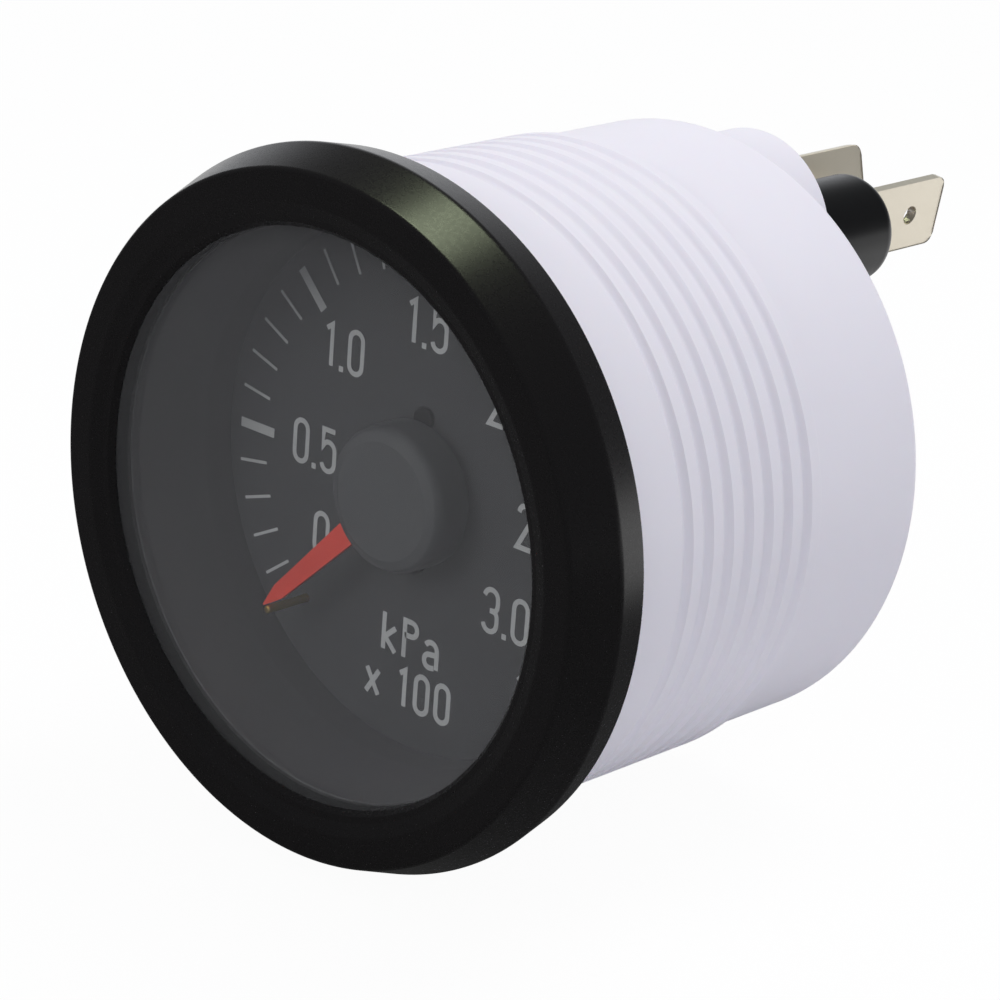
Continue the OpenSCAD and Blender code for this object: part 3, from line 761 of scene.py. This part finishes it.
@dataclass
class Dial:
    """Dial sheet with its printed scale, numbers, unit, screws and stop pin."""

    radius: float = 23.6
    face: float = 6.7
    thick: float = 0.6
    edge: float = 0.05
    ink: float = 0.03
    arbor_r: float = 1.2
    # Ticks: angles clockwise from the top, inner and outer radius, widths
    first_deg: float = -135.0
    step_deg: float = 9.0
    steps: int = 30
    minor: Point = (17.66, 20.73)
    minor_w: float = 0.25
    major: Point = (16.73, 20.63)
    major_w: float = 0.8
    major_every: int = 5
    # Numbers with x and z of their middles, and the lines below the hub with their z
    numerals: Numerals = field(default_factory=Numerals)
    numbers: dict[str, Point] = field(default_factory=lambda: {
        "0": (-10.7, -6.9), "0.5": (-12.0, 0.3), "1.0": (-9.3, 9.2), "1.5": (-0.4, 13.5),
        "2.0": (9.0, 9.3), "2.5": (12.8, 0.3), "3.0": (9.9, -7.5)})
    unit: Numerals = field(default_factory=lambda: Numerals(
        height=3.6, width=1.8, stroke=0.45, gap=0.5))
    unit_lines: dict[str, float] = field(default_factory=lambda: {
        "kPa": -12.8, "x 100": -17.0})
    screw_z: float = 6.0
    screw_r: float = 1.0
    screw_t: float = 0.45
    screw_round: float = 0.15
    pin_deg: float = -137.1
    pin_at: float = 17.6
    pin_r: float = 0.35
    pin_front: float = 2.2
    pin_round: float = 0.15

    def build(self) -> None:
        """Makes the sheet and everything on it."""
        shape = bmesh.new()
        back = self.face + self.thick
        revolve_into(shape, soften([(self.arbor_r, self.face, self.edge),
                                    (self.radius, self.face, self.edge),
                                    (self.radius, back, 0), (self.arbor_r, back, 0)], steps=2))
        settle(new_object("dial_sheet", shape, DIAL_INK), Body.CASE, Slot.DIAL, "dial")
        self.build_scale()
        self.build_numbers()
        self.build_screws()
        self.build_pin()

    def build_scale(self) -> None:
        """Makes the ticks, without one where the pointer rests."""
        shape = bmesh.new()
        for k in range(1, self.steps + 1):
            large = k % self.major_every == 0
            inner, outer = self.major if large else self.minor
            half = (self.major_w if large else self.minor_w) / 2
            along, across = dial_ways(self.first_deg + k * self.step_deg)
            tick = [tuple(along * r + across * s) for r, s in
                    ((inner, -half), (outer, -half), (outer, half), (inner, half))]
            slab_into(shape, tick, self.face, self.face - self.ink)
        settle(new_object("dial_ticks", shape, SCALE_INK), Body.CASE, Slot.DIAL)

    def build_numbers(self) -> None:
        """Makes the numbers, and the unit and its factor below the hub."""
        shape = bmesh.new()
        for words, place in self.numbers.items():
            self.numerals.write(shape, words, place, self.face, self.ink)
        settle(new_object("dial_numbers", shape, SCALE_INK), Body.CASE, Slot.DIAL)
        shape = bmesh.new()
        for words, z in self.unit_lines.items():
            self.unit.write(shape, words, (0, z), self.face, self.ink)
        settle(new_object("dial_unit", shape, SCALE_INK), Body.CASE, Slot.DIAL)

    def build_screws(self) -> None:
        """Makes the heads of the two dial screws."""
        shape = bmesh.new()
        for side in (-1, 1):
            disc_into(shape, self.screw_r, (self.face - self.screw_t, self.face),
                      (self.screw_round, 0), steps=4, segments=48, at=(0, side * self.screw_z))
        settle(new_object("dial_screw_heads", shape, BLACK_STEEL),
               Body.CASE, Slot.STEEL, "dial_screws")

    def build_pin(self) -> None:
        """Makes the stop pin."""
        shape = bmesh.new()
        a = math.radians(self.pin_deg)
        disc_into(shape, self.pin_r, (self.pin_front, self.face), (self.pin_round, 0), steps=4,
                  segments=32, at=(self.pin_at * math.sin(a), self.pin_at * math.cos(a)))
        settle(new_object("stop_pin_post", shape, MACHINED_BRASS),
               Body.CASE, Slot.STEEL, "stop_pin")


@dataclass
class PointerSet:
    """Red pointer with its round cap."""

    rest_deg: float = -135.0
    length: float = 18.3
    tip_round: float = 0.08
    root_r: float = 5.2
    root_w: float = 1.96
    neck_r: float = 15.8
    neck_w: float = 1.27
    neck_round: float = 0.3
    front: float = 2.56
    thick: float = 0.45
    cap_r: float = 5.95
    cap_round: float = 1.15
    # The rounding starts here, in degrees, which leaves an edge round the flat face
    cap_start: float = -50.0
    cap_front: float = 2.26
    cap_back: float = 5.9
    cap_wall: float = 1.1

    def build(self) -> None:
        """Makes the blade and the cap."""
        shape = bmesh.new()
        along, across = dial_ways(self.rest_deg)
        root, neck = self.root_w / 2, self.neck_w / 2
        outline = soften([(self.root_r, -root, 0), (self.neck_r, -neck, self.neck_round),
                          (self.length, 0, self.tip_round), (self.neck_r, neck, self.neck_round),
                          (self.root_r, root, 0)], steps=4)
        placed = [tuple(along * r + across * s) for r, s in outline]
        back = self.front + self.thick
        slab_into(shape, placed, self.front, back)
        settle(new_object("pointer_blade", shape, POINTER_RED, sharp_deg=5),
               Body.POINTER, Slot.POINTER, "pointer")
        shape = bmesh.new()
        flat, inner = self.cap_r - self.cap_round, self.cap_r - self.cap_wall
        shoulder = arc((flat, self.cap_front + self.cap_round), self.cap_round, self.cap_start, 0)
        revolve_into(shape, [(0, self.cap_front), (flat, self.cap_front), *shoulder,
                             (self.cap_r, self.cap_back), (inner, self.cap_back), (inner, back),
                             (0, back)], segments=128)
        settle(new_object("hub_cap_disc", shape, CAP_BLACK), Body.POINTER, Slot.RING, "hub_cap")


@dataclass
class Housing:
    """White barrel with its grooves, rear face and lamp boss."""

    radius: float = 26.0
    # Radius, front and back of the flange under the bezel's hem
    flange: Triple = (27.15, -2.9, -0.8)
    bore_r: float = 24.5
    grooves: int = 7
    groove_first: float = 7.4
    groove_pitch: float = 2.365
    groove_w: float = 1.265
    groove_d: float = 0.45
    groove_power: float = 0.6
    groove_steps: int = 16
    # The step behind the grooves, down to the rear radius
    step_y: float = 23.4
    step_run: float = 1.2
    step_slope: float = 0.05
    step_round: float = 0.12
    rear_r: float = 25.5
    rear_round: float = 0.6
    length: float = 36.5
    rear_wall: float = 1.6
    port_r: float = 4.96
    boss_at: Point = (0.0, 15.7)
    boss_r: float = 8.35
    boss_root: float = 0.2
    boss_back: float = 44.5
    boss_round: float = 0.5

    def groove(self, middle: float) -> Outline:
        """Draws one groove: a round valley with softened shoulders.

        Args:
            middle: Y of its middle.

        Returns:
            Its (radius, y) points, from front to back.
        """
        points = []
        for i in range(self.groove_steps + 1):
            share = i / self.groove_steps
            wave = 0.5 - 0.5 * math.cos(2 * math.pi * share)
            points.append((self.radius - self.groove_d * wave ** self.groove_power,
                           middle + self.groove_w * (share - 0.5)))
        return points

    def build(self) -> None:
        """Makes the barrel and the boss."""
        flange_r, flange_front, flange_back = self.flange
        outline: Outline = [(self.bore_r, flange_front), (flange_r, flange_front),
                            (flange_r, flange_back), (self.radius, flange_back)]
        for i in range(self.grooves):
            outline += self.groove(self.groove_first + i * self.groove_pitch)
        inside = self.length - self.rear_wall
        tail = soften([(self.radius, self.step_y - self.step_run, 0),
                       (self.radius, self.step_y, self.step_round),
                       (self.rear_r, self.step_y + self.step_slope, self.step_round),
                       (self.rear_r, self.length, self.rear_round), (self.port_r, self.length, 0),
                       (self.port_r, inside, 0), (self.bore_r, inside, 0)])
        outline += tail[1:]
        shape = bmesh.new()
        revolve_into(shape, outline, segments=256)
        settle(new_object("housing_barrel", shape, WHITE_ABS, sharp_deg=30),
               Body.CASE, Slot.HOUSING, "housing")
        self.build_boss()

    def build_boss(self) -> None:
        """Makes the boss: a round block on the rear face with a soft outer edge."""
        shape = bmesh.new()
        disc_into(shape, self.boss_r, (self.length - self.boss_root, self.boss_back),
                  (0, self.boss_round), steps=6, segments=160, at=self.boss_at)
        settle(new_object("lamp_boss", shape, WHITE_ABS, sharp_deg=30), Body.CASE, Slot.HOUSING)


@dataclass
class Lamp:
    """Lamp holder behind the boss, with the two tab terminals."""

    holder: Point = (3.1, 14.8)
    radius: float = 4.7
    front: float = 44.5
    root: float = 0.1
    back: float = 54.5
    rim: float = 1.3
    tab_w: float = 6.3
    tab_t: float = 0.8
    tab_round: float = 1.0
    tab_edge: float = 0.08
    lamp_tab_back: float = 66.0
    lamp_turn: float = 8.0
    earth: Point = (-4.3, 15.9)
    earth_back: float = 64.5
    earth_turn: float = -13.0
    hole_r: float = 0.8
    hole_in: float = 4.1
    hole_steps: int = 32

    def build(self) -> None:
        """Makes the holder and the tabs."""
        shape = bmesh.new()
        disc_into(shape, self.radius, (self.front - self.root, self.back), (0, self.rim),
                  steps=8, segments=128, at=self.holder)
        settle(new_object("lamp_holder_body", shape, HOLDER_BLACK, sharp_deg=25),
               Body.CASE, Slot.HOLDER, "lamp_holder")
        self.build_tab("lamp_tab", (self.back, self.lamp_tab_back), self.holder, self.lamp_turn,
                       "lamp_blade")
        self.build_tab("earth_tab", (self.front, self.earth_back), self.earth, self.earth_turn,
                       "ground_blade")

    def build_tab(self, name: str, ends: Point, at: Point, turn: float, node: str) -> None:
        """Makes one flat tab with a hole, softened corners and broken edges.

        Args:
            name: The piece's name.
            ends: Y of its root and of its tip.
            at: X and z of its middle line.
            turn: Its turn about Y, in degrees.
            node: The CAD node that it stands for.
        """
        start, end = ends
        half = self.tab_w / 2
        outline = soften([(start, -half, 0), (end, -half, self.tab_round),
                          (end, half, self.tab_round), (start, half, 0)], steps=4)
        hole_y = end - self.hole_in
        ring = [(hole_y + self.hole_r * math.cos(2 * math.pi * k / self.hole_steps),
                 self.hole_r * math.sin(2 * math.pi * k / self.hole_steps))
                for k in range(self.hole_steps)]
        spin = Matrix.Rotation(math.radians(turn), 4, "Y")
        shape = bmesh.new()
        faces = []
        for x in (-self.tab_t / 2, self.tab_t / 2):
            outer, inner = ([shape.verts.new(spin @ Vector((x, 0, z)) + Vector((at[0], y, at[1])))
                             for y, z in loop] for loop in (outline, ring))
            edges = [shape.edges.new((loop[i], loop[(i + 1) % len(loop)]))
                     for loop in (outer, inner) for i in range(len(loop))]
            bmesh.ops.triangle_fill(shape, use_beauty=True, edges=edges)
            faces.append((outer, inner))
        for one, two in zip(*faces):
            for i in range(len(one)):
                j = (i + 1) % len(one)
                shape.faces.new((one[i], one[j], two[j], two[i]))
        shape.normal_update()
        rim = [e for e in shape.edges
               if len(e.link_faces) == 2 and e.calc_face_angle(0) > STEEP_RAD]
        bmesh.ops.bevel(shape, geom=rim, offset=self.tab_edge, segments=2, profile=0.5,
                        affect="EDGES")
        settle(new_object(name, shape, TINNED_BRASS, sharp_deg=5), Body.CASE, Slot.TAB, node)


@dataclass
class KeptParts:
    """Pieces that keep their CAD shape and only get a finish."""

    dressed: dict[Surface, tuple[str, ...]] = field(default_factory=lambda: {
        NITRILE: ("lens_gasket", "socket_gasket"),
        MACHINED_BRASS: (
            "front_plate", "back_plate", "plate_pillars", "pivot_bushes", "hairspring_stud",
            "hairspring_collet", "pressure_socket", "port_nut", "pinion", "sector_gear", "link",
            "tube_tip", "pointer_boss"),
        PHOSPHOR_BRONZE: ("bourdon_tube",),
        BRIGHT_STEEL: (
            "plate_screws", "movement_screws", "hairspring", "port_washer", "pinion_arbor",
            "sector_arbor", "link_pin", "tip_pin"),
        TINNED_BRASS: ("lamp_contact", "bulb_base"),
        BULB_GLASS: ("lamp_bulb",)})

    def build(self, nodes: dict[str, bpy.types.Object]) -> None:
        """Dresses the nodes.

        Args:
            nodes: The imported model's nodes by name.
        """
        for finish, names in self.dressed.items():
            for name in names:
                shade(nodes[name], finish)


# Studio

@dataclass(frozen=True)
class SoftBox:
    """Square soft lamp that lights matt surfaces, or is only mirrored in glossy ones.

    Its power is in watts.
    """

    name: str
    place: Triple
    size: float
    power: float
    colour: str = "#ffffff"
    mirrored: bool = False

    def build(self, target: Triple) -> None:
        """Makes the lamp.

        Args:
            target: The point that it shines at.
        """
        light = bpy.data.lights.new(self.name, "AREA")
        light.color = linear(self.colour)[:3]
        light.shape = "SQUARE"
        light.size = self.size * MM
        light.energy = self.power
        lamp = bpy.data.objects.new(self.name, light)
        lamp.location = Vector(self.place) * MM
        lamp.visible_diffuse = not self.mirrored
        lamp.visible_glossy = self.mirrored
        aim = Vector(target) * MM - lamp.location
        lamp.rotation_mode = "QUATERNION"
        lamp.rotation_quaternion = aim.to_track_quat("-Z", "Y")
        bpy.context.scene.collection.objects.link(lamp)


@dataclass
class Studio:
    """Pale floor, soft lamps and the camera at the photograph's place."""

    # The camera's place, its three axes and its lens
    camera_at: Triple = (185.188, -191.873, 96.926)
    right: Triple = (0.72603, 0.68406, 0.07039)
    up: Triple = (-0.28064, 0.20128, 0.93847)
    back: Triple = (0.62783, -0.70107, 0.33812)
    lens_mm: float = 131.35
    sensor_mm: float = 36.0
    clip_m: Point = (0.01, 20.0)
    floor_z: float = -28.95
    floor_half: float = 3000.0
    floor_colour: str = "#f0f0f2"
    # How much of the floor is its own glow where the camera, gloss or glass sees it
    floor_glow: float = 0.96
    # What gloss sees of the floor: its glow, darkened round the object, which is painted shade. It
    # ends over the shade's span along back_way, where wedge_mm along wedge_way is passed too, and
    # over band_mm everywhere
    painted_shade_level: float = 0.06
    back_way: Triple = (0.0, 1.0, 0.0)
    painted_shade_mm: Point = (80.0, 120.0)
    wedge_way: Triple = (-2.0, 1.0, 0.0)
    wedge_mm: Point = (-90.0, -40.0)
    band_mm: Point = (170.0, 320.0)
    # The world's level on matt surfaces, and in gloss from dim walls to a bright one behind left
    world_colour: str = "#eceef2"
    world_level: float = 0.66
    wall_way: Triple = (-0.63, 0.78, 0.0)
    wall_span: Point = (0.8, 1.0)
    wall_levels: Point = (0.13, 1.1)
    boxes: tuple[SoftBox, ...] = (
        SoftBox("key_box", (50, 140, 400), 220, 0.9),
        SoftBox("front_box", (-80, -420, 200), 160, 0.45),
        SoftBox("leaf_box", (-52, 41, 400), 130, 0.56, "#c8d4b2", mirrored=True))
    boxes_aim: Triple = (0.0, 15.0, 0.0)

    def build(self) -> None:
        """Makes the floor, the world, the lamps and the camera."""
        self.build_floor()
        self.build_world()
        for box in self.boxes:
            box.build(self.boxes_aim)
        self.build_camera()

    def rise(self, tree: bpy.types.NodeTree, way: Triple, span: Point) -> bpy.types.NodeSocket:
        """Adds a level that goes from 0 to 1 along a way over the floor.

        Args:
            tree: The floor's node tree.
            way: The way, which the floor's points are measured along.
            span: Where the level starts and ends to rise.

        Returns:
            The level's socket.
        """
        place = add_node(tree, "ShaderNodeNewGeometry")
        across = add_node(tree, "ShaderNodeVectorMath", {"operation": "DOT_PRODUCT", 1: way},
                          {0: place.outputs["Position"]})
        step = add_node(tree, "ShaderNodeMapRange",
                        {"From Min": span[0] * MM, "From Max": span[1] * MM},
                        {"Value": across.outputs["Value"]})
        return step.outputs["Result"]

    def floor_material(self) -> bpy.types.Material:
        """Makes the floor's material: white with the object's shadow, and painted shade round the
        object in gloss.

        Returns:
            The material.
        """
        material = bpy.data.materials.new("pale_floor")
        tree = new_tree(material)
        # Painted shade: where gloss and glass see the floor, its glow drops to a low level near
        # the object and is full further out
        near = add_node(tree, "ShaderNodeMath", {"operation": "MULTIPLY"},
                        {0: self.rise(tree, self.back_way, self.painted_shade_mm),
                         1: self.rise(tree, self.wedge_way, self.wedge_mm)})
        unshaded = add_node(tree, "ShaderNodeMath", {"operation": "MAXIMUM"},
                        {0: near.outputs[0], 1: self.rise(tree, self.back_way, self.band_mm)})
        gloss_floor_shade = add_node(tree, "ShaderNodeMapRange", {"To Min": self.painted_shade_level},
                         {"Value": unshaded.outputs[0]})
        path = add_node(tree, "ShaderNodeLightPath")
        level = add_node(tree, "ShaderNodeMixRGB", {"Color2": (1, 1, 1, 1)},
                         {"Fac": path.outputs["Is Camera Ray"], "Color1": gloss_floor_shade.outputs["Result"]})
        diffuse = add_node(tree, "ShaderNodeBsdfDiffuse", {"Color": linear(self.floor_colour)})
        glow = add_node(tree, "ShaderNodeEmission", {"Strength": 1.0},
                        {"Color": level.outputs["Color"]})
        seen = add_node(tree, "ShaderNodeMath", {"operation": "MAXIMUM"},
                        {0: path.outputs["Is Camera Ray"], 1: path.outputs["Is Glossy Ray"]})
        through = add_node(tree, "ShaderNodeMath", {"operation": "MAXIMUM"},
                           {0: seen.outputs[0], 1: path.outputs["Is Transmission Ray"]})
        share = add_node(tree, "ShaderNodeMath", {"operation": "MULTIPLY", 1: self.floor_glow},
                         {0: through.outputs[0]})
        mix = add_node(tree, "ShaderNodeMixShader", {},
                       {0: share.outputs[0], 1: diffuse.outputs[0], 2: glow.outputs[0]})
        add_node(tree, "ShaderNodeOutputMaterial", {}, {"Surface": mix.outputs[0]})
        return material

    def build_floor(self) -> None:
        """Makes the floor."""
        shape = bmesh.new()
        shape.faces.new([shape.verts.new((x * self.floor_half, y * self.floor_half, self.floor_z))
                         for x, y in ((-1, -1), (1, -1), (1, 1), (-1, 1))])
        mesh = bpy.data.meshes.new("floor")
        shape.to_mesh(mesh)
        shape.free()
        mesh.transform(Matrix.Scale(MM, 4))
        mesh.materials.append(self.floor_material())
        floor = bpy.data.objects.new("floor", mesh)
        bpy.context.scene.collection.objects.link(floor)

    def build_world(self) -> None:
        """Makes a pale world, white where the camera sees it."""
        world = bpy.data.worlds.new("studio")
        bpy.context.scene.world = world
        tree = new_tree(world)
        path = add_node(tree, "ShaderNodeLightPath")
        mirrored = add_node(tree, "ShaderNodeMath", {"operation": "GREATER_THAN"},
                            {0: path.outputs["Is Glossy Ray"],
                             1: path.outputs["Is Transmission Ray"]})
        place = add_node(tree, "ShaderNodeTexCoord")
        aside = add_node(tree, "ShaderNodeVectorMath",
                         {"operation": "DOT_PRODUCT", 1: self.wall_way},
                         {0: place.outputs["Generated"]})
        walls = add_node(tree, "ShaderNodeMapRange",
                         {"From Min": self.wall_span[0], "From Max": self.wall_span[1],
                          "To Min": self.wall_levels[0], "To Max": self.wall_levels[1]},
                         {"Value": aside.outputs["Value"]})
        level = add_node(tree, "ShaderNodeMapRange", {"To Min": self.world_level},
                         {"Value": mirrored.outputs[0], "To Max": walls.outputs["Result"]})
        soft = add_node(tree, "ShaderNodeBackground", {"Color": linear(self.world_colour)},
                        {"Strength": level.outputs["Result"]})
        white = add_node(tree, "ShaderNodeBackground", {"Color": (1, 1, 1, 1), "Strength": 1.0})
        mix = add_node(tree, "ShaderNodeMixShader", {},
                       {0: path.outputs["Is Camera Ray"], 1: soft.outputs[0],
                        2: white.outputs[0]})
        add_node(tree, "ShaderNodeOutputWorld", {}, {"Surface": mix.outputs[0]})

    def build_camera(self) -> None:
        """Makes the camera from the fitted view."""
        data = bpy.data.cameras.new("camera")
        data.lens = self.lens_mm
        data.sensor_width = self.sensor_mm
        data.clip_start, data.clip_end = self.clip_m
        camera = bpy.data.objects.new("camera", data)
        turn = Matrix((self.right, self.up, self.back)).transposed().to_4x4()
        camera.matrix_world = Matrix.Translation(Vector(self.camera_at) * MM) @ turn
        bpy.context.scene.collection.objects.link(camera)
        bpy.context.scene.camera = camera


def main() -> None:
    """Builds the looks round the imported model."""
    logging.basicConfig(level=logging.INFO, format="%(message)s")
    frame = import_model()
    Bezel().build()
    Lens().build()
    SpacerRing().build()
    Dial().build()
    PointerSet().build()
    Housing().build()
    Lamp().build()
    KeptParts().build(frame["nodes"])
    Studio().build()
    bpy.context.scene.view_settings.view_transform = "Standard"


if __name__ == "__main__":
    main()
